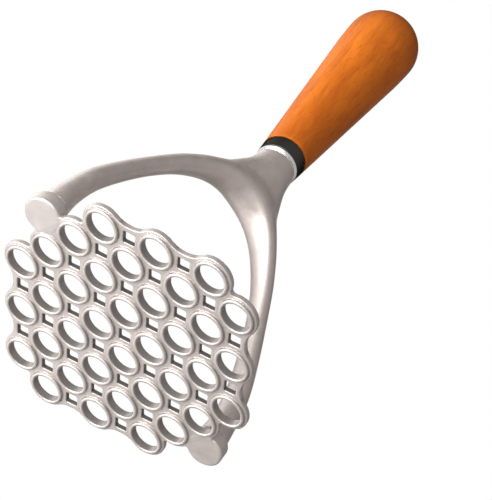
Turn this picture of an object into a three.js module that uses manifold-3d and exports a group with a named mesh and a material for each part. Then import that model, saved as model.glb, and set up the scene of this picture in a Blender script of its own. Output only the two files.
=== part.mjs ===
// A potato masher: a pierced mashing plate, a two-armed yoke and a turned wooden handle.
// Millimetres. +Z runs up through the handle and X runs through the two arms. The origin is
// in the middle of the plate, level with the tops of its rims, which the masher stands on.

import * as THREE from "three";
import { mergeVertices } from "three/addons/utils/BufferGeometryUtils.js";
import Module from "manifold-3d";

const wasm = await Module();
wasm.setup();

const GAP = 0.3; // kept between two pieces that touch

// Mashing plate: rings joined by a thinner web. Each ring stands proud of the web as a rim, on
// the working face and on the back. Its numbers are for round rings on a square grid, which
// are then stretched along X and narrowed along Y to the oval rings of the real plate.
const STRETCH_X = 1.07;
const STRETCH_Y = 0.935;
const PITCH = 13.23;
const LAST_RING_OF_ROW = { 0.5: 3.5, 1.5: 2.5, 2.5: 1.5 }; // in pitches, Y by X
const BORE_RADIUS = 4.7;
const RIM_RADIUS = 5.9;
const RIM_BACK = 3.4;
const WEB_FRONT = 1;
const WEB_BACK = 3.1;
const WEB_RADIUS = 6.85; // of the web's edge round an outer ring
const DIAMOND_HALF_DIAGONAL = 2.75;
const BESIDE_FILLET = 1.1; // in the outline, between two rings one pitch apart
const DIAGONAL_FILLET = 8.5; // in the outline, between two rings apart on the diagonal
const LUG_FILLET = 1.6;

// Lugs: a disc at each end of the plate's X axis, which an arm stands on
const LUG_X = 46.1;
const LUG_RADIUS = 6.3;
const LUG_WEB_RADIUS = 5.9; // of the web's edge round a lug, before it is stretched
const LUG_BACK = 6.2;
const SPIGOT_RADIUS = 3;
const SPIGOT_LENGTH = 2;

// Yoke: an arch of elliptical section, and the neck that rises from its middle
const FOOT_Z = LUG_BACK + GAP;
const NECK_TOP = 112.8;
const NECK_RADIUS = 8.3;
const STUD_HOLE_DEPTH = 14;
const ARCH = [
  // x and z of the centre line, then the half width in its plane and the half width along Y
  [45.9, FOOT_Z, 5, 5.8],
  [45.5, 16.2, 4.2, 5.3],
  [43.6, 28.3, 3.8, 4.9],
  [39.1, 42, 3.4, 4.4],
  [33.1, 56.6, 3.1, 4],
  [25.8, 70.1, 3.1, 4.1],
  [17.1, 82.2, 3.7, 4.8],
  [8.8, 88.1, 4.4, 5.5],
  [0, 90, 5.1, 5.9],
];
const NECK = [
  // z of a section of the neck, then its half widths along X and Y
  [86, 16, 4],
  [91, 15.2, 5],
  [95, 13.8, 5.8],
  [99, 12, 6.6],
  [103, 10.2, 7.4],
  [107.5, 8.8, 8.1],
  [NECK_TOP, NECK_RADIUS, NECK_RADIUS],
];

// Neck ring, ferrule and handle
const NECK_RING_BOTTOM = NECK_TOP + GAP;
const NECK_RING_TOP = 114.6;
const FERRULE_BOTTOM = NECK_RING_TOP + GAP;
const FERRULE_TOP = 121.3;
const FERRULE_WALL = 1.2;
const TENON_RADIUS = 7;
const SHOULDER_Z = FERRULE_TOP + GAP;
const GRIP_START_RADIUS = 9.05;
const GRIP_END_RADIUS = 14.9; // where the straight cone of the grip ends
const GRIP_END_Z = 202;
const KNOB_RADIUS = 15.6;
const KNOB_Z = 218.2; // height of the widest place of the rounded end
const HANDLE_TOP = 233.6;

// Stud and insert: the joint hidden inside the handle
const STUD_RADIUS = 3;
const STUD_BOTTOM = NECK_TOP - STUD_HOLE_DEPTH + GAP;
const STUD_TOP = 136;
const INSERT_RADIUS = 4.8;
const INSERT_LENGTH = 20;
const CHAMFER = 0.6;

const ROUND_STEPS = 40;
const BORE_STEPS = 16;
const SPIGOT_STEPS = 20;
const ARC_STEP = Math.PI / 9; // most turn between two points of the plate's outline

function solidOf(geometry) {
  const bare = geometry.clone();
  bare.deleteAttribute("normal");
  bare.deleteAttribute("uv");
  const merged = mergeVertices(bare, 1e-4);
  return new wasm.Manifold(
    new wasm.Mesh({
      numProp: 3,
      vertProperties: new Float32Array(merged.attributes.position.array),
      triVerts: new Uint32Array(merged.index.array),
    }),
  );
}

function geometryOf(solid) {
  const mesh = solid.getMesh();
  const geometry = new THREE.BufferGeometry();
  geometry.setAttribute(
    "position",
    new THREE.BufferAttribute(mesh.vertProperties, 3),
  );
  geometry.setIndex(new THREE.BufferAttribute(mesh.triVerts, 1));
  geometry.computeVertexNormals();
  return geometry;
}

function slab(points, bottom, top, holes = []) {
  const shape = new THREE.Shape(points);
  shape.holes = holes.map((hole) => new THREE.Path(hole));
  const geometry = new THREE.ExtrudeGeometry(shape, {
    depth: top - bottom,
    bevelEnabled: false,
  });
  return geometry.translate(0, 0, bottom);
}

function disc(x, y, radius, bottom, top, steps) {
  const geometry = new THREE.CylinderGeometry(
    radius,
    radius,
    top - bottom,
    steps,
  );
  return geometry.rotateX(Math.PI / 2).translate(x, y, (top + bottom) / 2);
}

// A closed skin through elliptical sections; sectionAt(t) gives the one at t from 0 to 1.
function loft(sectionAt, lengthSteps, roundSteps) {
  const geometry = new THREE.CylinderGeometry(
    1,
    1,
    1,
    roundSteps,
    lengthSteps,
  );
  const position = geometry.attributes.position;
  for (let i = 0; i < position.count; i++) {
    const { centre, across, halfAcross, halfY } = sectionAt(
      position.getY(i) + 0.5,
    );
    const point = centre
      .clone()
      .addScaledVector(across, halfAcross * position.getX(i));
    position.setXYZ(i, point.x, -halfY * position.getZ(i), point.z);
  }
  return geometry;
}

function turned(profile) {
  const points = profile.map(([radius, z]) => new THREE.Vector2(radius, z));
  return new THREE.LatheGeometry(points, ROUND_STEPS).rotateX(Math.PI / 2);
}

// ---------- mashing plate ----------

function ringCentres() {
  const centres = [];
  for (const [row, last] of Object.entries(LAST_RING_OF_ROW))
    for (const side of [-1, 1])
      for (let along = -last; along <= last; along++)
        centres.push(
          new THREE.Vector2(side * row * PITCH, along * PITCH),
        );
  return centres;
}

// The middle of each grid cell that has a ring at three or four of its corners.
function diamondCentres(rings) {
  const centres = [];
  for (let i = -3; i <= 3; i++)
    for (let j = -4; j <= 4; j++) {
      const centre = new THREE.Vector2(i * PITCH, j * PITCH);
      const near = rings.filter((ring) => ring.distanceTo(centre) < PITCH);
      if (near.length >= 3) centres.push(centre);
    }
  return centres;
}

function diamond(centre) {
  const reach = DIAMOND_HALF_DIAGONAL;
  return [
    new THREE.Vector2(centre.x + reach, centre.y),
    new THREE.Vector2(centre.x, centre.y + reach),
    new THREE.Vector2(centre.x - reach, centre.y),
    new THREE.Vector2(centre.x, centre.y - reach),
  ];
}

function arc(centre, radius, from, to) {
  const steps = Math.ceil(Math.abs(to - from) / ARC_STEP);
  return Array.from({ length: steps + 1 }, (_, i) => {
    const angle = from + ((to - from) * i) / steps;
    return new THREE.Vector2(
      centre.x + radius * Math.cos(angle),
      centre.y + radius * Math.sin(angle),
    );
  });
}

// The circles that the outline runs round, anticlockwise from the +X lug.
function outlineCircles() {
  const quarter = Object.entries(LAST_RING_OF_ROW)
    .map(([row, last]) => new THREE.Vector2(row * PITCH, last * PITCH))
    .reverse();
  quarter.unshift(new THREE.Vector2(quarter[0].x, PITCH / 2));
  const half = [...quarter].reverse().map((c) => new THREE.Vector2(-c.x, c.y));
  const upper = [...quarter, ...half].map((centre) => ({
    centre,
    radius: WEB_RADIUS,
  }));
  const lower = upper.map(({ centre, radius }) => ({
    centre: centre.clone().negate(),
    radius,
  }));
  const lug = (x) => ({
    centre: new THREE.Vector2(x / STRETCH_X, 0),
    radius: LUG_WEB_RADIUS,
  });
  return [lug(LUG_X), ...upper, lug(-LUG_X), ...lower];
}

function filletRadius(a, b) {
  if (a.radius !== b.radius) return LUG_FILLET;
  const apart = a.centre.distanceTo(b.centre);
  return apart > 1.2 * PITCH ? DIAGONAL_FILLET : BESIDE_FILLET;
}

// The centre of the fillet that touches both circles on the outer side.
function filletBetween(a, b) {
  const radius = filletRadius(a, b);
  const gap = b.centre.clone().sub(a.centre);
  const apart = gap.length();
  const reachA = a.radius + radius;
  const reachB = b.radius + radius;
  const along = (reachA ** 2 - reachB ** 2 + apart ** 2) / (2 * apart);
  const out = Math.sqrt(reachA ** 2 - along ** 2);
  const direction = gap.divideScalar(apart);
  const centre = new THREE.Vector2(
    a.centre.x + direction.x * along + direction.y * out,
    a.centre.y + direction.y * along - direction.x * out,
  );
  return { centre, radius };
}

function turnBetween(from, to) {
  const turn = (to - from) % (2 * Math.PI);
  return turn < 0 ? turn + 2 * Math.PI : turn;
}

function plateOutline() {
  const circles = outlineCircles();
  const count = circles.length;
  const fillets = circles.map((circle, i) =>
    filletBetween(circle, circles[(i + 1) % count]),
  );
  const angle = (from, to) => Math.atan2(to.y - from.y, to.x - from.x);
  return circles.flatMap(({ centre, radius }, i) => {
    const before = fillets[(i + count - 1) % count];
    const after = fillets[i];
    const start = angle(centre, before.centre);
    const end = start + turnBetween(start, angle(centre, after.centre));
    const first = angle(after.centre, centre);
    const next = circles[(i + 1) % count].centre;
    const last = first - turnBetween(angle(after.centre, next), first);
    return [
      ...arc(centre, radius, start, end),
      ...arc(after.centre, after.radius, first, last).slice(1, -1),
    ];
  });
}

function stretched(geometry) {
  return solidOf(geometry.scale(STRETCH_X, STRETCH_Y, 1));
}

function mashingPlate() {
  const rings = ringCentres();
  const diamonds = diamondCentres(rings).map(diamond);
  let plate = stretched(slab(plateOutline(), WEB_FRONT, WEB_BACK, diamonds));
  for (const { x, y } of rings) {
    const rim = disc(x, y, RIM_RADIUS, 0, RIM_BACK, BORE_STEPS);
    plate = plate.add(stretched(rim));
  }
  for (const { x, y } of rings) {
    const bore = disc(x, y, BORE_RADIUS, -1, RIM_BACK + 1, BORE_STEPS);
    plate = plate.subtract(stretched(bore));
  }
  const middle = (WEB_FRONT + WEB_BACK) / 2;
  const socketRadius = SPIGOT_RADIUS + GAP;
  const socketBottom = LUG_BACK - SPIGOT_LENGTH;
  for (const x of [-LUG_X, LUG_X]) {
    const lug = disc(x, 0, LUG_RADIUS, middle, LUG_BACK, 2 * SPIGOT_STEPS);
    const socket = disc(
      x,
      0,
      socketRadius,
      socketBottom,
      LUG_BACK + 1,
      SPIGOT_STEPS,
    );
    plate = plate.add(solidOf(lug)).subtract(solidOf(socket));
  }
  return geometryOf(plate);
}

// ---------- yoke ----------

// A smooth curve through numbers spaced evenly from t = 0 to t = 1.
function smooth(values) {
  const curve = new THREE.CatmullRomCurve3(
    values.map((value) => new THREE.Vector3(...value)),
    false,
    "centripetal",
  );
  return (t) => curve.getPoint(t);
}

function archLoft() {
  const oneSide = ARCH.slice(0, -1);
  const whole = [
    ...oneSide.map(([x, ...rest]) => [-x, ...rest]),
    ARCH.at(-1),
    ...[...oneSide].reverse(),
  ];
  const centreAt = smooth(whole.map(([x, z]) => [x, 0, z]));
  const widthAt = smooth(whole.map(([, , inPlane, alongY]) => [inPlane, alongY, 0]));
  const sectionAt = (t) => {
    const centre = centreAt(t);
    const ahead = centreAt(Math.min(1, t + 1e-3));
    const behind = centreAt(Math.max(0, t - 1e-3));
    const along = ahead.sub(behind).normalize();
    const level = t === 0 || t === 1;
    const across = level
      ? new THREE.Vector3(t === 0 ? 1 : -1, 0, 0)
      : new THREE.Vector3(along.z, 0, -along.x);
    const width = widthAt(t);
    return { centre, across, halfAcross: width.x, halfY: width.y };
  };
  return loft(sectionAt, 40, 16);
}

function neckLoft() {
  const heightAt = smooth(NECK.map(([z]) => [0, 0, z]));
  const widthAt = smooth(NECK.map(([, alongX, alongY]) => [alongX, alongY, 0]));
  const across = new THREE.Vector3(1, 0, 0);
  const sectionAt = (t) => {
    const width = widthAt(t);
    return {
      centre: heightAt(t),
      across,
      halfAcross: width.x,
      halfY: width.y,
    };
  };
  return loft(sectionAt, 8, ROUND_STEPS);
}

function yoke() {
  let body = solidOf(archLoft()).add(solidOf(neckLoft()));
  const spigotBottom = FOOT_Z - SPIGOT_LENGTH;
  for (const x of [-LUG_X, LUG_X])
    body = body.add(
      solidOf(disc(x, 0, SPIGOT_RADIUS, spigotBottom, FOOT_Z + 1, SPIGOT_STEPS)),
    );
  const hole = disc(
    0,
    0,
    STUD_RADIUS + GAP,
    NECK_TOP - STUD_HOLE_DEPTH,
    NECK_TOP + 1,
    SPIGOT_STEPS,
  );
  return geometryOf(body.subtract(solidOf(hole)));
}

// ---------- neck ring, ferrule, handle and the joint inside ----------

// The outside of the grip as a straight cone, carried on down through the ferrule and ring.
function coneRadius(z) {
  const slope =
    (GRIP_END_RADIUS - GRIP_START_RADIUS) / (GRIP_END_Z - SHOULDER_Z);
  return GRIP_START_RADIUS + slope * (z - SHOULDER_Z);
}

function neckRing() {
  const inner = STUD_RADIUS + GAP;
  return turned([
    [inner, NECK_RING_BOTTOM],
    [NECK_RADIUS - CHAMFER / 2, NECK_RING_BOTTOM],
    [coneRadius(NECK_RING_TOP), NECK_RING_TOP - CHAMFER / 2],
    [coneRadius(NECK_RING_TOP), NECK_RING_TOP],
    [inner, NECK_RING_TOP],
    [inner, NECK_RING_BOTTOM],
  ]);
}

function ferrule() {
  const hole = STUD_RADIUS + GAP;
  const socket = TENON_RADIUS + GAP;
  const floor = FERRULE_BOTTOM + FERRULE_WALL;
  return turned([
    [hole, FERRULE_BOTTOM],
    [coneRadius(FERRULE_BOTTOM), FERRULE_BOTTOM],
    [coneRadius(FERRULE_TOP), FERRULE_TOP],
    [socket, FERRULE_TOP],
    [socket, floor],
    [hole, floor],
    [hole, FERRULE_BOTTOM],
  ]);
}

// The grip's outside above its straight cone: it swells to the knob and closes in a dome.
function knobProfile() {
  const swell = new THREE.CubicBezierCurve(
    new THREE.Vector2(GRIP_END_RADIUS, GRIP_END_Z),
    new THREE.Vector2(coneRadius(GRIP_END_Z + 4), GRIP_END_Z + 4),
    new THREE.Vector2(KNOB_RADIUS, KNOB_Z - 4),
    new THREE.Vector2(KNOB_RADIUS, KNOB_Z),
  );
  const dome = new THREE.EllipseCurve(
    0,
    KNOB_Z,
    KNOB_RADIUS,
    HANDLE_TOP - KNOB_Z,
    0,
    Math.PI / 2,
  );
  const points = [...swell.getPoints(4), ...dome.getPoints(10).slice(1, -1)];
  return [...points.map(({ x, y }) => [x, y]), [0, HANDLE_TOP]];
}

function handle() {
  const tenonBottom = FERRULE_BOTTOM + FERRULE_WALL + GAP;
  const bore = INSERT_RADIUS + GAP;
  const boreTop = tenonBottom + INSERT_LENGTH + GAP;
  return turned([
    [0, boreTop],
    [bore, boreTop],
    [bore, tenonBottom],
    [TENON_RADIUS, tenonBottom],
    [TENON_RADIUS, SHOULDER_Z],
    [GRIP_START_RADIUS, SHOULDER_Z],
    ...knobProfile(),
  ]);
}

function tangStud() {
  return turned([
    [0, STUD_BOTTOM],
    [STUD_RADIUS - CHAMFER, STUD_BOTTOM],
    [STUD_RADIUS, STUD_BOTTOM + CHAMFER],
    [STUD_RADIUS, STUD_TOP - CHAMFER],
    [STUD_RADIUS - CHAMFER, STUD_TOP],
    [0, STUD_TOP],
  ]);
}

function threadedInsert() {
  const inner = STUD_RADIUS + GAP;
  const bottom = FERRULE_BOTTOM + FERRULE_WALL + GAP;
  const top = bottom + INSERT_LENGTH;
  return turned([
    [inner, bottom],
    [INSERT_RADIUS, bottom],
    [INSERT_RADIUS, top - CHAMFER],
    [INSERT_RADIUS - CHAMFER, top],
    [inner, top],
    [inner, bottom],
  ]);
}

const CAST_METAL = { color: 0xb9b0aa, roughness: 0.38, metalness: 1 };
const PIECES = [
  ["mashing_plate", mashingPlate, CAST_METAL],
  ["yoke", yoke, CAST_METAL],
  ["neck_ring", neckRing, { color: 0xe6e4e2, roughness: 0.12, metalness: 1 }],
  ["ferrule", ferrule, { color: 0x3a3838, roughness: 0.28, metalness: 1 }],
  ["handle", handle, { color: 0xc46a28, roughness: 0.4, metalness: 0 }],
  ["tang_stud", tangStud, { color: 0x9a9c9e, roughness: 0.35, metalness: 1 }],
  [
    "threaded_insert",
    threadedInsert,
    { color: 0xb8924a, roughness: 0.35, metalness: 1 },
  ],
];

const masher = new THREE.Group();
for (const [name, make, finish] of PIECES) {
  const mesh = new THREE.Mesh(make(), new THREE.MeshStandardMaterial(finish));
  mesh.name = name;
  masher.add(mesh);
}

export default masher;
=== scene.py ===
import math

import bpy
import numpy as np
from mathutils import Matrix, Vector


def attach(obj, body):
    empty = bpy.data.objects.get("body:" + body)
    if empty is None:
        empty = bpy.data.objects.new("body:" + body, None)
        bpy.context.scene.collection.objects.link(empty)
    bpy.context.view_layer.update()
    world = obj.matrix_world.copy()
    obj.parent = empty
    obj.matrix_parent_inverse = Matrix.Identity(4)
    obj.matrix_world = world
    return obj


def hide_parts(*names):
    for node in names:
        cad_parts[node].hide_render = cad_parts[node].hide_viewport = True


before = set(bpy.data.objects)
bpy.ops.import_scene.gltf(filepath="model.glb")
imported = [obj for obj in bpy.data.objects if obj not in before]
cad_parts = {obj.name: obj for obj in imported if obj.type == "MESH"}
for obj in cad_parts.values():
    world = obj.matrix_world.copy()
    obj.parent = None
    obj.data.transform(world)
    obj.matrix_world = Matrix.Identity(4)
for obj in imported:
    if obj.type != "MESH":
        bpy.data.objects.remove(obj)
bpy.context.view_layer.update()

# A potato masher seen from below and to the left of its mashing plate. Shapes are written in
# millimetres in the row frame, and become metres when a mesh is made.
MM = 0.001
FAR = 1e9  # further than anything, also when squared
CURVE_STEPS = 12  # pieces of a curve between two of the rows that it runs through

# Mashing plate, as in the CAD part: drawn for round rings on a square grid, then stretched
STRETCH_X = 1.07
STRETCH_Y = 0.935
PITCH = 13.23
ROWS = (0.5, 1.5, 2.5)  # X of the rows of rings that run along Y, on one side, in pitches
CORNER_SUM = 4.0  # a row's X and the Y of its last ring added up, in pitches
GRID_END = 4  # the last grid point between rings, counted from the middle
BORE_RADIUS = 4.7
RIM_RADIUS = 5.9
RIM_BACK = 3.4
RIM_ROUND = 0.5
WEB_FRONT = 1.0
WEB_BACK = 3.1
WEB_RADIUS = 6.85
WEB_ROUND = 0.35
RIM_BLEND = 0.15
DIAMOND_HALF_DIAGONAL = 2.75
DIAMOND_ROUND = 0.35
BESIDE_FILLET = 1.1
DIAGONAL_FILLET = 8.5
LUG_FILLET = 1.6
LUG_X = 46.1
LUG_RADIUS = 6.3
LUG_WEB_RADIUS = 5.9
LUG_BACK = 6.2
LUG_ROUND = 0.6
LUG_BLEND = 0.25
DIAGONAL_APART = 1.2  # circles further apart than this, in pitches, are diagonal neighbours
ARC_STEP = 0.05  # radians between two points of the outline
OUTLINE_REACH = 56.0
OUTLINE_STEP = 0.25

# Painted shade on the plate: millimetres from the middle of a ring or a diamond hole, and the
# share of brightness there, low down the bores and diamond holes and in a thin line round each
# rim's outer corner
RING_PAINTED_SHADE = [(4.75, 0.64), (4.95, 1.0), (5.75, 1.0), (5.95, 0.66), (6.2, 0.93)]
DIAMOND_PAINTED_SHADE = [(2.8, 0.45), (3.0, 1.0)]
# Where each painted shade ends along X, in pitches, so that the lugs keep the plain metal
RING_PAINTED_SHADE_END = 2.98
DIAMOND_PAINTED_SHADE_END = 2.77

# Yoke: x and z of the arch's middle line, its half width in the XZ plane and along Y
FOOT_Z = 6.26
FOOT_ROUND = 0.5
ARCH = np.array([
    [45.9, 6.5, 5.0, 5.8],
    [45.5, 16.2, 4.2, 5.3],
    [43.6, 28.3, 3.8, 4.9],
    [39.1, 42.0, 3.4, 4.4],
    [33.1, 56.6, 3.1, 4.0],
    [26.0, 70.3, 3.1, 4.2],
    [17.6, 81.5, 3.5, 4.8],
    [9.2, 88.0, 4.2, 5.5],
    [0.0, 90.0, 4.8, 5.9],
])
# Added to the first row, it carries the arch on below its cut at FOOT_Z
BELOW_FOOT = np.array([0.3, -8.0, 0.4, 0.2])
# z of a section of the neck, then its half widths along X and Y
NECK_TOP = 112.8
NECK = np.array([
    [72.0, 22.0, 4.5],
    [80.7, 20.0, 5.2],
    [87.3, 17.2, 6.0],
    [94.0, 14.4, 6.6],
    [98.4, 12.3, 7.0],
    [102.9, 10.2, 7.5],
    [107.5, 8.85, 8.05],
    [NECK_TOP, 8.3, 8.3],
])
NECK_TOP_ROUND = 1.0
NECK_BLEND = 4.0
NECK_DEPTH = 1.5  # how far the neck goes inside the arch's middle line
NECK_DEPTH_BLEND = 3.0
STUD_HOLE = 3.3
STUD_HOLE_BOTTOM = 98.8

# Neck ring, ferrule and handle
RING_BOTTOM = 113.1
RING_TOP = 114.6
GROOVE_RADIUS = 7.6
GROOVE_HEIGHT = 0.35
FERRULE_BOTTOM = 114.9
FERRULE_TOP = 121.3
FERRULE_FLOOR = 1.2
FERRULE_BORE = 7.3
TENON_BOTTOM = FERRULE_BOTTOM + 1.5
TENON_RADIUS = 7.0
INSERT_BORE = 5.1
INSERT_BORE_DEPTH = 20.3
SHOULDER_Z = 121.6
SHOULDER_EASE = 0.35
GRIP_START = 9.05
GRIP_END = 14.9
GRIP_END_Z = 202.0
KNOB_RADIUS = 15.6
KNOB_Z = 218.2
KNOB_EASE = 4.0  # length of the levers that ease the cone into the knob
HANDLE_TOP = 233.6
GRIP_POINTS = 60
EASE_POINTS = 13
DOME_POINTS = 33
SHARP_ANGLE = math.radians(50)

# Low corner, high corner and step of the grids that the two castings are sampled on
PLATE_GRID = ((-53.7, -51.2, -0.9), (53.7, 51.2, 7.2), (0.45, 0.45, 0.4))
YOKE_GRID = ((-54.3, -9.9, 4.9), (54.3, 9.9, 114.4), (0.65, 0.65, 0.65))
SETTLING_ROUNDS = 4
FLATTEST = 0.05  # least squared slope that a point's move is worked out with
SLOPE_REACH = 0.03
NORMAL_REACH = 0.06


# ---------- meshes ----------

def make_mesh(name, points, faces, normals=None):
    """An object from points in millimetres, smooth, with the given normals if there are any."""
    mesh = bpy.data.meshes.new(name)
    mesh.from_pydata((np.asarray(points) * MM).tolist(), [], faces)
    mesh.validate()
    mesh.shade_smooth()
    if normals is not None:
        mesh.normals_split_custom_set_from_vertices(normals.tolist())
    piece = bpy.data.objects.new(name, mesh)
    bpy.context.scene.collection.objects.link(piece)
    return piece


def crossings(grid, axis):
    """Lower corner of each grid edge along axis that the surface crosses, where, and which way."""
    count = grid.shape[axis] - 1
    lower = np.take(grid, range(count), axis)
    upper = np.take(grid, range(1, count + 1), axis)
    corner = np.argwhere((lower < 0) != (upper < 0))
    a = lower[tuple(corner.T)]
    b = upper[tuple(corner.T)]
    point = corner.astype(float)
    point[:, axis] += a / (a - b)
    return corner, point, a < 0


def surface_net(grid):
    """Points, in grid steps, and quads of the zero surface of a field sampled on a grid."""
    cells = tuple(n - 1 for n in grid.shape)
    total = np.zeros((3, math.prod(cells)))
    hits = np.zeros(math.prod(cells))
    quads = []
    for axis in range(3):
        corner, point, outward = crossings(grid, axis)
        around = []
        for back_u, back_v in ((0, 0), (1, 0), (1, 1), (0, 1)):
            cell = corner.copy()
            cell[:, (axis + 1) % 3] -= back_u
            cell[:, (axis + 2) % 3] -= back_v
            flat = np.ravel_multi_index(tuple(cell.T), cells)
            hits += np.bincount(flat, minlength=len(hits))
            for k in range(3):
                total[k] += np.bincount(flat, point[:, k], minlength=len(hits))
            around.append(flat)
        quad = np.stack(around, 1)
        quad[~outward] = quad[~outward, ::-1]
        quads.append(quad)
    used = hits > 0
    index = np.cumsum(used) - 1
    points = (total[:, used] / hits[used]).T
    return points, index[np.concatenate(quads)]


def gradient(field, p, reach):
    """The field's slope at the points p, from differences over that reach."""
    columns = []
    for k in range(3):
        step = np.zeros(3)
        step[k] = reach
        columns.append((field(*(p + step).T) - field(*(p - step).T)) / (2 * reach))
    return np.stack(columns, 1)


def field_piece(name, field, low, high, step):
    """The surface where field is zero, as a mesh whose points lie on it."""
    axes = [np.arange(a, b + s, s) for a, b, s in zip(low, high, step)]
    grid = field(*np.meshgrid(*axes, indexing="ij", sparse=True))
    points, quads = surface_net(grid)
    points = np.array(low) + points * np.array(step)
    reach = 0.4 * min(step)
    for _ in range(SETTLING_ROUNDS):
        slope = gradient(field, points, SLOPE_REACH)
        size = np.maximum((slope**2).sum(1), FLATTEST)
        move = slope * (field(*points.T) / size)[:, None]
        length = np.linalg.norm(move, axis=1, keepdims=True)
        points -= move * np.minimum(1, reach / np.maximum(length, 1e-9))
    slope = gradient(field, points, NORMAL_REACH)
    normals = slope / np.linalg.norm(slope, axis=1, keepdims=True)
    return make_mesh(name, points, quads.tolist(), normals)


def soft_min(a, b, reach):
    """The smaller of two distances, blended where they differ by less than reach."""
    blend = np.maximum(reach - abs(a - b), 0) / reach
    return np.minimum(a, b) - blend**2 * reach / 4


def soft_max(a, b, reach):
    return -soft_min(-a, -b, reach)


def rounded(flat, upright, radius):
    """Two distances joined as a slab whose edges have that radius."""
    a = flat + radius
    b = upright + radius
    outside = np.hypot(np.maximum(a, 0), np.maximum(b, 0))
    return np.minimum(np.maximum(a, b), 0) + outside - radius


# ---------- mashing plate ----------

def outline_circles():
    """Centre and radius of the circles that the outline runs round, anticlockwise from +X."""
    quarter = [(x * PITCH, (CORNER_SUM - x) * PITCH) for x in reversed(ROWS)]
    quarter.insert(0, (quarter[0][0], PITCH / 2))
    half = [(-x, y) for x, y in reversed(quarter)]
    upper = [(x, y, WEB_RADIUS) for x, y in quarter + half]
    lower = [(-x, -y, radius) for x, y, radius in upper]
    lug_x = LUG_X / STRETCH_X
    return [(lug_x, 0, LUG_WEB_RADIUS), *upper, (-lug_x, 0, LUG_WEB_RADIUS), *lower]


def fillet_between(a, b):
    """The circle that touches circles a and b on the outline's outer side."""
    apart = math.dist(a[:2], b[:2])
    radius = DIAGONAL_FILLET if apart > DIAGONAL_APART * PITCH else BESIDE_FILLET
    if a[2] != b[2]:
        radius = LUG_FILLET
    reach_a = a[2] + radius
    reach_b = b[2] + radius
    along = (reach_a**2 - reach_b**2 + apart**2) / (2 * apart)
    out = math.sqrt(reach_a**2 - along**2)
    dx = (b[0] - a[0]) / apart
    dy = (b[1] - a[1]) / apart
    return (a[0] + dx * along + dy * out, a[1] + dy * along - dx * out, radius)


def arc(circle, start, end):
    """Points along a circle from one angle to another, both included."""
    steps = math.ceil(abs(end - start) / ARC_STEP)
    angles = np.linspace(start, end, steps + 1)
    x, y, radius = circle
    return np.stack([x + radius * np.cos(angles), y + radius * np.sin(angles)], 1)


def plate_outline():
    """The web's edge as a closed line of points, before it is stretched."""
    circles = outline_circles()
    count = len(circles)
    fillets = [fillet_between(c, circles[(i + 1) % count]) for i, c in enumerate(circles)]

    def angle(start, end):
        return math.atan2(end[1] - start[1], end[0] - start[0])

    arcs = []
    for i, circle in enumerate(circles):
        before = fillets[i - 1]
        after = fillets[i]
        start = angle(circle, before)
        end = start + (angle(circle, after) - start) % math.tau
        first = angle(after, circle)
        turn = (first - angle(after, circles[(i + 1) % count])) % math.tau
        arcs.append(arc(circle, start, end))
        arcs.append(arc(after, first, first - turn)[1:-1])
    return np.concatenate(arcs)


class OutlineDistance:
    """Signed distance to a closed line in the XY plane, kept on a fine grid."""

    def __init__(self, line, reach, step):
        self.reach = reach
        self.step = step
        ticks = np.arange(-reach, reach + step, step)
        x, y = np.meshgrid(ticks, ticks, indexing="ij")
        nearest = np.full(x.shape, FAR)
        inside = np.zeros(x.shape, bool)
        for (ax, ay), (bx, by) in zip(line, np.roll(line, -1, axis=0)):
            dx = bx - ax
            dy = by - ay
            t = np.clip(((x - ax) * dx + (y - ay) * dy) / (dx * dx + dy * dy), 0, 1)
            away = (x - ax - t * dx) ** 2 + (y - ay - t * dy) ** 2
            nearest = np.minimum(nearest, away)
            if ay != by:
                inside ^= ((ay > y) != (by > y)) & (x < ax + (y - ay) * dx / dy)
        self.values = np.sqrt(nearest) * np.where(inside, -1, 1)

    def __call__(self, x, y):
        x, y = np.broadcast_arrays((x + self.reach) / self.step, (y + self.reach) / self.step)
        last = len(self.values) - 2
        i = np.clip(np.floor(x).astype(int), 0, last)
        j = np.clip(np.floor(y).astype(int), 0, last)
        u = x - i
        v = y - j
        grid = self.values
        near = grid[i, j] * (1 - u) + grid[i + 1, j] * u
        far = grid[i, j + 1] * (1 - u) + grid[i + 1, j + 1] * u
        return near * (1 - v) + far * v


def ring_distance(x, y):
    """Distance to the axis of the ring whose grid cell the point lies in."""
    row = np.clip(np.floor(abs(x) / PITCH) + 0.5, ROWS[0], ROWS[-1])
    along = np.clip(np.floor(abs(y) / PITCH) + 0.5, 0.5, CORNER_SUM - row)
    return np.hypot(abs(x) - row * PITCH, abs(y) - along * PITCH)


def is_ring(row, along):
    return abs(row) in ROWS and abs(along) <= CORNER_SUM - abs(row)


def diamond_cells():
    """For each grid point, from -GRID_END on, whether it has three or four rings round it."""
    points = range(-GRID_END, GRID_END + 1)
    sides = (-0.5, 0.5)
    return np.array([
        [sum(is_ring(i + a, j + b) for a in sides for b in sides) >= 3 for j in points]
        for i in points
    ])


DIAMOND_CELLS = diamond_cells()


def diamond_distance(x, y):
    """Distance to the edge of the diamond hole at the nearest grid point, negative inside it."""
    i = np.clip(np.round(x / PITCH), -GRID_END, GRID_END)
    j = np.clip(np.round(y / PITCH), -GRID_END, GRID_END)
    dx = x - i * PITCH
    dy = y - j * PITCH
    half = DIAMOND_HALF_DIAGONAL / math.sqrt(2)
    one_way = abs(dx + dy) / math.sqrt(2) - half
    other_way = abs(dx - dy) / math.sqrt(2) - half
    real = DIAMOND_CELLS[i.astype(int) + GRID_END, j.astype(int) + GRID_END]
    return np.where(real, rounded(one_way, other_way, DIAMOND_ROUND), PITCH)


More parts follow.
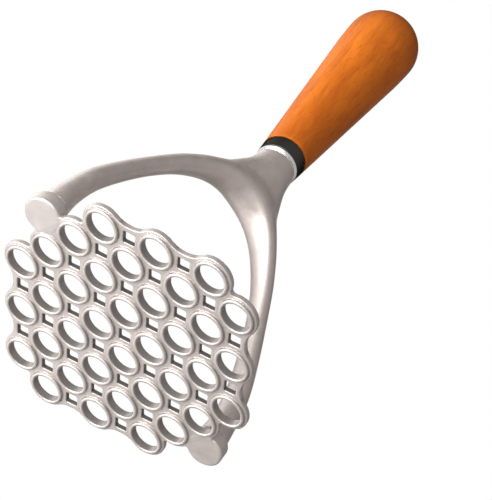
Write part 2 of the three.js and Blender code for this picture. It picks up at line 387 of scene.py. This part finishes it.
def plate_field():
    outline = OutlineDistance(plate_outline(), OUTLINE_REACH, OUTLINE_STEP)
    rim_middle = (BORE_RADIUS + RIM_RADIUS) / 2
    rim_half = (RIM_RADIUS - BORE_RADIUS) / 2

    def field(x, y, z):
        flat_x = x / STRETCH_X
        flat_y = y / STRETCH_Y
        radius = ring_distance(flat_x, flat_y)
        rim = rounded(
            abs(radius - rim_middle) - rim_half,
            abs(z - RIM_BACK / 2) - RIM_BACK / 2,
            RIM_ROUND,
        )
        sheet = np.maximum(outline(flat_x, flat_y), -diamond_distance(flat_x, flat_y))
        sheet = np.maximum(sheet, rim_middle - radius)
        middle = (WEB_FRONT + WEB_BACK) / 2
        web = rounded(sheet, abs(z - middle) - (WEB_BACK - WEB_FRONT) / 2, WEB_ROUND)
        lug_middle = (WEB_FRONT + LUG_BACK) / 2
        lug = rounded(
            np.hypot(abs(x) - LUG_X, y) - LUG_RADIUS,
            abs(z - lug_middle) - (LUG_BACK - WEB_FRONT) / 2,
            LUG_ROUND,
        )
        return soft_min(soft_min(rim, web, RIM_BLEND), lug, LUG_BLEND)

    return field


# ---------- yoke ----------

def curve_through(rows):
    """A Catmull-Rom curve through rows of numbers."""
    ends = [2 * rows[0] - rows[1], *rows, 2 * rows[-1] - rows[-2]]
    t = np.linspace(0, 1, CURVE_STEPS, endpoint=False)[:, None]
    spans = []
    for a, b, c, d in zip(ends, ends[1:], ends[2:], ends[3:]):
        spans.append(
            0.5 * (2 * b + (c - a) * t + (2 * a - 5 * b + 4 * c - d) * t**2
                   + (3 * b - a - 3 * c + d) * t**3)
        )
    return np.concatenate([*spans, rows[-1:]])


def arch_line():
    """The arch's sections from the +X foot over the top to the -X foot."""
    half = np.concatenate([ARCH[:1] + BELOW_FOOT, ARCH])
    whole = np.concatenate([half, half[-2::-1] * [-1, 1, 1, 1]])
    return curve_through(whole)


def nearest_section(line, x, z):
    """Distance from (x, z) out from the arch's middle line, and its half widths there."""
    x, z = np.broadcast_arrays(x, z)
    nearest = np.full(x.shape, FAR)
    outward = np.zeros(x.shape)
    halves = np.zeros((2,) + x.shape)
    for a, b in zip(line, line[1:]):
        dx, dz = b[:2] - a[:2]
        t = np.clip(((x - a[0]) * dx + (z - a[1]) * dz) / (dx * dx + dz * dz), 0, 1)
        away = (x - a[0] - t * dx) ** 2 + (z - a[1] - t * dz) ** 2
        closer = away < nearest
        nearest = np.where(closer, away, nearest)
        side = (x - a[0]) * dz - (z - a[1]) * dx
        outward = np.where(closer, np.sign(side), outward)
        for k in range(2):
            halves[k] = np.where(closer, a[2 + k] + t * (b[2 + k] - a[2 + k]), halves[k])
    return np.sqrt(nearest) * outward, halves


def elliptic(across, half_across, y, half_y):
    """Roughly the distance to an ellipse with those half widths, zero on it."""
    ratio = np.sqrt((across / half_across) ** 2 + (y / half_y) ** 2)
    return (ratio - 1) * np.minimum(half_across, half_y)


def yoke_field():
    line = arch_line()
    neck = curve_through(NECK)

    def field(x, y, z):
        across, (half_across, half_y) = nearest_section(line, x, z)
        arch = elliptic(across, half_across, y, half_y)
        half_x = np.interp(z, neck[:, 0], neck[:, 1])
        half_y = np.interp(z, neck[:, 0], neck[:, 2])
        stem = elliptic(x, half_x, y, half_y)
        stem = soft_max(stem, -NECK_DEPTH - across, NECK_DEPTH_BLEND)
        body = soft_min(arch, stem, NECK_BLEND)
        body = soft_max(body, z - NECK_TOP, NECK_TOP_ROUND)
        body = soft_max(body, FOOT_Z - z, FOOT_ROUND)
        hole = np.maximum(np.hypot(x, y) - STUD_HOLE, STUD_HOLE_BOTTOM - z)
        return np.maximum(body, -hole)

    return field


# ---------- turned pieces ----------

def cone_radius(z):
    """The outside of the grip as a straight cone, carried on down through the ferrule."""
    taper = (GRIP_END - GRIP_START) / (GRIP_END_Z - SHOULDER_Z)
    return GRIP_START + taper * (z - SHOULDER_Z)


def round_corners(corners, steps=6):
    """A closed profile from (radius, z, rounding) corners."""
    points = []
    for i, (r, z, rounding) in enumerate(corners):
        here = Vector((r, z))
        if not rounding:
            points.append(here)
            continue
        before = Vector(corners[i - 1][:2])
        after = Vector(corners[(i + 1) % len(corners)][:2])
        start = here + (before - here).normalized() * rounding
        end = here + (after - here).normalized() * rounding
        for k in range(steps + 1):
            t = k / steps
            points.append(start * (1 - t) ** 2 + here * 2 * t * (1 - t) + end * t**2)
    return [(p.x, p.y) for p in points]


def turned(name, profile, around=128):
    """A closed profile turned round Z. Points on the axis close it there."""
    points = []
    rings = []
    for r, z in profile:
        if r < 1e-6:
            rings.append([len(points)] * around)
            points.append((0, 0, z))
            continue
        rings.append(range(len(points), len(points) + around))
        for k in range(around):
            turn = math.tau * k / around
            points.append((r * math.cos(turn), r * math.sin(turn), z))
    faces = []
    for i, ring in enumerate(rings):
        below = rings[i - 1]
        if below[0] == below[1] and ring[0] == ring[1]:
            continue
        for k in range(around):
            n = (k + 1) % around
            face = [below[k], below[n], ring[n], ring[k]]
            faces.append(list(dict.fromkeys(face)))
    piece = make_mesh(name, points, faces)
    piece.data.set_sharp_from_angle(angle=SHARP_ANGLE)
    return piece


def neck_ring_profile():
    """A bevelled ring with a small groove round its foot, where the neck meets it."""
    outer = cone_radius(RING_TOP)
    return round_corners([
        (STUD_HOLE, RING_BOTTOM, 0),
        (GROOVE_RADIUS, RING_BOTTOM, 0.1),
        (GROOVE_RADIUS, RING_BOTTOM + GROOVE_HEIGHT, 0.1),
        (GROOVE_RADIUS + 0.4, RING_BOTTOM + GROOVE_HEIGHT, 0.12),
        (outer, RING_TOP - 0.25, 0.2),
        (outer - 0.05, RING_TOP, 0.1),
        (STUD_HOLE, RING_TOP, 0),
    ])


def ferrule_profile():
    """A cup round the handle's tenon, with a floor that the stud goes through."""
    floor = FERRULE_BOTTOM + FERRULE_FLOOR
    return round_corners([
        (STUD_HOLE, FERRULE_BOTTOM, 0),
        (cone_radius(FERRULE_BOTTOM), FERRULE_BOTTOM, 0.2),
        (cone_radius(FERRULE_TOP), FERRULE_TOP - 0.45, 0.1),
        (cone_radius(FERRULE_TOP) - 0.3, FERRULE_TOP, 0.1),
        (FERRULE_BORE, FERRULE_TOP, 0.1),
        (FERRULE_BORE, floor, 0),
        (STUD_HOLE, floor, 0),
    ])


def handle_profile():
    """Bore, tenon, eased shoulder, straight cone, a curve into the knob, and a dome."""
    bore_end = TENON_BOTTOM + INSERT_BORE_DEPTH
    profile = [
        (0, bore_end),
        (INSERT_BORE, bore_end),
        (INSERT_BORE, TENON_BOTTOM),
        (TENON_RADIUS, TENON_BOTTOM),
        (TENON_RADIUS, SHOULDER_Z),
        (GRIP_START - SHOULDER_EASE, SHOULDER_Z),
        (GRIP_START - 0.12, SHOULDER_Z + 0.1),
    ]
    for z in np.linspace(SHOULDER_Z + SHOULDER_EASE, GRIP_END_Z, GRIP_POINTS):
        profile.append((cone_radius(z), z))
    start = np.array([GRIP_END, GRIP_END_Z])
    rise = np.array([cone_radius(GRIP_END_Z + KNOB_EASE), GRIP_END_Z + KNOB_EASE])
    fall = np.array([KNOB_RADIUS, KNOB_Z - KNOB_EASE])
    end = np.array([KNOB_RADIUS, KNOB_Z])
    for t in np.linspace(0, 1, EASE_POINTS)[1:]:
        point = (start * (1 - t) ** 3 + 3 * rise * t * (1 - t) ** 2
                 + 3 * fall * t**2 * (1 - t) + end * t**3)
        profile.append(tuple(point))
    for turn in np.linspace(0, math.pi / 2, DOME_POINTS)[1:-1]:
        up = (HANDLE_TOP - KNOB_Z) * math.sin(turn)
        profile.append((KNOB_RADIUS * math.cos(turn), KNOB_Z + up))
    profile.append((0, HANDLE_TOP))
    return profile


# ---------- materials ----------

class Nodes:
    """The node tree of a material or a world, with short ways to add to it."""

    def __init__(self, owner):
        owner.use_nodes = True
        self.owner = owner
        self.tree = owner.node_tree
        self.shader = self.tree.nodes.get("Principled BSDF")

    def add(self, kind, settings=None, **inputs):
        node = self.tree.nodes.new(kind)
        for key, value in (settings or {}).items():
            setattr(node, key, value)
        for key, value in inputs.items():
            self.put(node.inputs[key.replace("_", " ")], value)
        return node

    def put(self, socket, value):
        if isinstance(value, bpy.types.NodeSocket):
            self.tree.links.new(value, socket)
        else:
            socket.default_value = value

    def stretched(self, scale):
        """The place on the object in metres, scaled along each axis."""
        place = self.add("ShaderNodeTexCoord").outputs["Object"]
        mapping = self.add("ShaderNodeMapping", Vector=place)
        mapping.inputs["Scale"].default_value = scale
        return mapping.outputs[0]

    def vector(self, operation, first, second=None):
        node = self.add("ShaderNodeVectorMath", {"operation": operation})
        self.put(node.inputs[0], first)
        if second is not None:
            self.put(node.inputs[1], second)
        return node.outputs["Value" if operation in ("LENGTH", "DOT_PRODUCT") else "Vector"]

    def noise(self, scale, detail, roughness=0.5, stretch=(1, 1, 1)):
        node = self.add("ShaderNodeTexNoise", Vector=self.stretched(stretch), Scale=scale,
                        Detail=detail, Roughness=roughness)
        return node.outputs["Fac"]

    def ramp(self, value, stops):
        node = self.add("ShaderNodeValToRGB", Fac=value)
        elements = node.color_ramp.elements
        while len(elements) < len(stops):
            elements.new(0.5)
        for element, (position, color) in zip(elements, stops):
            element.position = position
            element.color = (*color, 1)
        return node.outputs["Color"]

    def to_range(self, value, low, high, new_low, new_high):
        node = self.add("ShaderNodeMapRange", Value=value)
        for key, number in zip(("From Min", "From Max", "To Min", "To Max"),
                               (low, high, new_low, new_high)):
            node.inputs[key].default_value = number
        return node.outputs["Result"]

    def mix_shaders(self, share, first, second):
        node = self.add("ShaderNodeMixShader")
        for socket, value in zip(node.inputs, (share, first, second)):
            self.put(socket, value)
        return node.outputs[0]

    def mix(self, share, a, b, blend="MIX"):
        node = self.add("ShaderNodeMix", {"data_type": "RGBA", "blend_type": blend})
        self.put(node.inputs[0], share)
        for socket, color in ((node.inputs[6], a), (node.inputs[7], b)):
            self.put(socket, (*color, 1) if isinstance(color, tuple) else color)
        return node.outputs[2]

    def bump(self, height, distance, strength=1.0):
        node = self.add("ShaderNodeBump", Height=height, Strength=strength)
        node.inputs["Distance"].default_value = distance
        self.put(self.shader.inputs["Normal"], node.outputs[0])

    def finish(self, **inputs):
        for key, value in inputs.items():
            self.put(self.shader.inputs[key.replace("_", " ")], value)
        return self.owner


def material_nodes(name):
    return Nodes(bpy.data.materials.new(name))


def from_middle(nodes, place, middle):
    """How far a place lies from the nearest middle, if middles are one apart and one is given."""
    shifted = nodes.vector("ADD", place, (middle + 0.5, middle + 0.5, 0))
    within = nodes.vector("FRACTION", shifted)
    return nodes.vector("SUBTRACT", within, (0.5, 0.5, 0))


def painted_plate_shade(nodes):
    """Share of the metal's brightness, as painted shade: darker down the bores and diamond holes
    and round the rims' outer corners.
    """
    scale = 1 / (PITCH * MM)
    place = nodes.stretched((scale / STRETCH_X, scale / STRETCH_Y, 0))
    out_along_x = nodes.vector("DOT_PRODUCT", nodes.vector("ABSOLUTE", place), (1, 0, 0))
    in_ring = nodes.vector("LENGTH", from_middle(nodes, place, 0.5))
    beside = nodes.vector("ABSOLUTE", from_middle(nodes, place, 0.0))
    in_diamond = nodes.vector("DOT_PRODUCT", beside, (1, 1, 0))
    white = (1.0, 1.0, 1.0)
    shades = []
    # Each ramp paints shade by distance from the middle of a ring or a diamond hole.
    for distance, stops, last in (
        (in_ring, RING_PAINTED_SHADE, RING_PAINTED_SHADE_END),
        (in_diamond, DIAMOND_PAINTED_SHADE, DIAMOND_PAINTED_SHADE_END),
    ):
        shade = nodes.ramp(distance, [(mm / PITCH, (share,) * 3) for mm, share in stops])
        beyond = nodes.to_range(out_along_x, last, last + 0.01, 0.0, 1.0)
        shades.append(nodes.mix(beyond, shade, white))
    return nodes.mix(1.0, *shades, blend="MULTIPLY")


def cast_metal(name, dark, light, rough, painted_shade_of=None):
    """Satin cast metal: a faint mottle, fine grain, and uneven polish, with painted shade
    multiplied in where a pattern for it is given.
    """
    nodes = material_nodes(name)
    mottle = nodes.noise(140, 3, 0.55)
    grain = nodes.noise(1900, 2, 0.6)
    color = nodes.ramp(mottle, [(0.3, dark), (0.7, light)])
    if painted_shade_of:
        # Painted shade, where given, darkens the metal's colour.
        color = nodes.mix(1.0, color, painted_shade_of(nodes), blend="MULTIPLY")
    shade = nodes.to_range(grain, 0.3, 0.7, 0.965, 1.035)
    scaled = nodes.add("ShaderNodeVectorMath", {"operation": "SCALE"}, Scale=shade)
    nodes.put(scaled.inputs[0], color)
    roughness = nodes.to_range(nodes.noise(420, 3), 0.3, 0.7, rough - 0.04, rough + 0.05)
    nodes.bump(grain, 0.00004)
    return nodes.finish(Base_Color=scaled.outputs[0], Metallic=1.0, Roughness=roughness)


def polished_metal(name, color, rough, marks, edge=1.0):
    """Turned metal with faint marks running round it. Edge is how bright it is edge on."""
    nodes = material_nodes(name)
    rings = nodes.noise(1.0, 3, 0.6, (60, 60, 5200))
    stain = nodes.noise(260, 3)
    low = tuple(c * (1 - marks) for c in color)
    high = tuple(min(1, c * (1 + marks)) for c in color)
    tint = nodes.ramp(stain, [(0.35, low), (0.65, high)])
    roughness = nodes.to_range(rings, 0.3, 0.7, rough * 0.8, rough * 1.25)
    nodes.bump(rings, 0.000008)
    return nodes.finish(Base_Color=tint, Metallic=1.0, Roughness=roughness,
                        Specular_Tint=(edge, edge, edge, 1))


def varnished_wood(name):
    """Orange-brown hardwood: bands, clouds, streaks and flecks along Z, and a darker rounded end
    that is partly end grain and partly painted shade.
    """
    nodes = material_nodes(name)
    bands = nodes.noise(60, 4, 0.6, (1, 1, 0.16))
    clouds = nodes.noise(95, 3, 0.6, (1, 1, 0.5))
    streaks = nodes.noise(420, 3, 0.6, (1, 1, 0.06))
    flecks = nodes.noise(1200, 3, 0.65, (1, 1, 0.16))
    base = nodes.ramp(bands, [(0.3, (0.40, 0.092, 0.007)), (0.5, (0.52, 0.128, 0.010)),
                              (0.7, (0.63, 0.168, 0.014))])
    cloudy = nodes.to_range(clouds, 0.45, 0.7, 0.0, 0.4)
    color = nodes.mix(cloudy, base, (0.37, 0.080, 0.008))
    dark = nodes.to_range(streaks, 0.5, 0.7, 0.0, 0.5)
    color = nodes.mix(dark, color, (0.33, 0.070, 0.009))
    pores = nodes.to_range(flecks, 0.52, 0.72, 0.0, 0.42)
    color = nodes.mix(pores, color, (0.23, 0.045, 0.008))
    height = nodes.vector("DOT_PRODUCT", nodes.stretched((1, 1, 1)), (0, 0, 1))
    # Darker towards the knob's top: partly end grain, partly painted shade on the dome that faces
    # away from the light.
    end_grain_and_shade = nodes.to_range(height, (KNOB_Z - 11) * MM, (KNOB_Z + 6) * MM, 0.0, 0.9)
    color = nodes.mix(end_grain_and_shade, color, (0.26, 0.062, 0.009))
    roughness = nodes.to_range(streaks, 0.3, 0.7, 0.5, 0.62)
    nodes.bump(flecks, 0.00006, 0.5)
    return nodes.finish(Base_Color=color, Roughness=roughness, Coat_Weight=0.03,
                        Coat_Roughness=0.25, Specular_IOR_Level=0.07)


def dress(piece, material):
    piece.data.materials.clear()
    piece.data.materials.append(material)


# ---------- studio ----------

CAMERA_PLACE = Vector((-0.1270, -0.3561, -0.3552))
CAMERA_FORWARD = Vector((0.2426, 0.6194, 0.7466)).normalized()
CAMERA_RIGHT = Vector((0.5337, -0.7280, 0.4305)).normalized()
CAMERA_UP = CAMERA_RIGHT.cross(CAMERA_FORWARD).normalized()
CAMERA_LENS = 118.7
MIDDLE = Vector((0, 0, 0.1))  # what the lights point at
FLOOR_REACH = 3.0
FLOOR_Z = -0.0002


def make_camera():
    data = bpy.data.cameras.new("camera")
    data.sensor_width = 36
    data.lens = CAMERA_LENS
    data.clip_end = 20
    camera = bpy.data.objects.new("camera", data)
    right = CAMERA_FORWARD.cross(CAMERA_UP)
    turn = Matrix((right, CAMERA_UP, -CAMERA_FORWARD)).transposed()
    camera.matrix_world = Matrix.Translation(CAMERA_PLACE) @ turn.to_4x4()
    bpy.context.scene.collection.objects.link(camera)
    bpy.context.scene.camera = camera


def seen_from(right, up, back):
    """A direction given as it lies in the photograph's view."""
    way = CAMERA_RIGHT * right + CAMERA_UP * up - CAMERA_FORWARD * back
    return way.normalized()


def softbox(name, way, distance, size, power):
    """A round area light that lies that way from the masher and points at it."""
    data = bpy.data.lights.new(name, "AREA")
    data.shape = "DISK"
    data.size = size
    data.energy = power
    light = bpy.data.objects.new(name, data)
    light.location = MIDDLE + way * distance
    light.rotation_euler = (-way).to_track_quat("-Z", "Y").to_euler()
    bpy.context.scene.collection.objects.link(light)


def towards(nodes, way, low, high, dark, bright):
    """Brightness that rises as a direction turns towards way, between two dot products."""
    direction = nodes.add("ShaderNodeTexCoord").outputs["Generated"]
    return nodes.to_range(nodes.vector("DOT_PRODUCT", direction, way), low, high, dark, bright)


def make_world():
    """White where the camera sees past the masher. Lighting comes from a soft grey studio, with
    a bright backdrop behind the masher as the photograph sees it."""
    world = bpy.data.worlds.new("studio")
    nodes = Nodes(world)
    nodes.tree.nodes.clear()
    total = nodes.add("ShaderNodeMath", {"operation": "ADD"})
    below = towards(nodes, (0, -0.7, -0.7), -0.6, 0.1, dark=0.12, bright=0.44)
    backdrop = towards(nodes, CAMERA_FORWARD, 0.8, 0.97, dark=0.0, bright=0.8)
    nodes.put(total.inputs[0], below)
    nodes.put(total.inputs[1], backdrop)
    room = nodes.add("ShaderNodeBackground", Color=(1.0, 0.975, 0.96, 1),
                     Strength=total.outputs[0])
    white = nodes.add("ShaderNodeBackground", Color=(1, 1, 1, 1))
    seen = nodes.add("ShaderNodeLightPath").outputs["Is Camera Ray"]
    surface = nodes.mix_shaders(seen, room.outputs[0], white.outputs[0])
    nodes.add("ShaderNodeOutputWorld", Surface=surface)
    bpy.context.scene.world = world


def make_floor():
    """A pale floor under the plate, clear from below, where the photograph's view is."""
    mesh = bpy.data.meshes.new("floor")
    corners = [(-1, -1), (1, -1), (1, 1), (-1, 1)]
    points = [(x * FLOOR_REACH, y * FLOOR_REACH, 0) for x, y in corners]
    mesh.from_pydata(points, [], [(0, 1, 2, 3)])
    floor = bpy.data.objects.new("floor", mesh)
    floor.location.z = FLOOR_Z
    nodes = material_nodes("floor")
    nodes.finish(Base_Color=(0.3, 0.3, 0.3, 1), Roughness=0.9, Specular_IOR_Level=0.1,
                 Emission_Color=(1, 1, 0.99, 1), Emission_Strength=0.68)
    clear = nodes.add("ShaderNodeBsdfTransparent")
    from_below = nodes.add("ShaderNodeNewGeometry").outputs["Backfacing"]
    surface = nodes.mix_shaders(from_below, nodes.shader.outputs[0], clear.outputs[0])
    nodes.put(nodes.tree.nodes["Material Output"].inputs[0], surface)
    dress(floor, nodes.owner)
    floor.visible_shadow = False
    floor.visible_diffuse = False
    floor.visible_glossy = False
    bpy.context.scene.collection.objects.link(floor)


# ---------- the masher ----------

def add_piece(piece, node, material):
    """Dress a piece and let it stand for that node of the CAD part."""
    dress(piece, material)
    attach(piece, "root")
    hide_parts(node)


# The plate's metal carries painted shade in its bores, diamond holes and round its rims.
add_piece(
    field_piece("plate_casting", plate_field(), *PLATE_GRID),
    "mashing_plate",
    cast_metal("cast_plate", (0.59, 0.54, 0.516), (0.69, 0.636, 0.61), 0.54, painted_plate_shade),
)
add_piece(
    field_piece("yoke_casting", yoke_field(), *YOKE_GRID),
    "yoke",
    cast_metal("cast_yoke", (0.60, 0.535, 0.505), (0.68, 0.61, 0.58), 0.53),
)
add_piece(turned("polished_neck_ring", neck_ring_profile()), "neck_ring",
          polished_metal("bright_ring", (0.95, 0.94, 0.93), 0.32, 0.02))
add_piece(turned("dark_ferrule", ferrule_profile()), "ferrule",
          polished_metal("gunmetal", (0.095, 0.088, 0.08), 0.33, 0.06, 0.08))
add_piece(turned("wooden_handle", handle_profile()), "handle", varnished_wood("orange_hardwood"))
dress(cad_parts["tang_stud"], polished_metal("plain_steel", (0.55, 0.55, 0.56), 0.3, 0.06))
dress(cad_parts["threaded_insert"], polished_metal("plain_brass", (0.7, 0.5, 0.2), 0.3, 0.06))

make_camera()
make_world()
make_floor()
softbox("key", seen_from(-0.55, 0.35, 0.75), distance=0.9, size=1.3, power=22.5)
softbox("low", seen_from(-0.9, -0.42, 0.05), distance=0.46, size=0.5, power=0.66)
softbox("rim", seen_from(-0.45, 0.62, -0.62), distance=1.0, size=0.7, power=2.0)
overhead = Vector((-0.55, 0.3, 0.78)).normalized()
softbox("overhead", overhead, distance=1.0, size=0.8, power=0.8)
bpy.context.scene.view_settings.view_transform = "Standard"
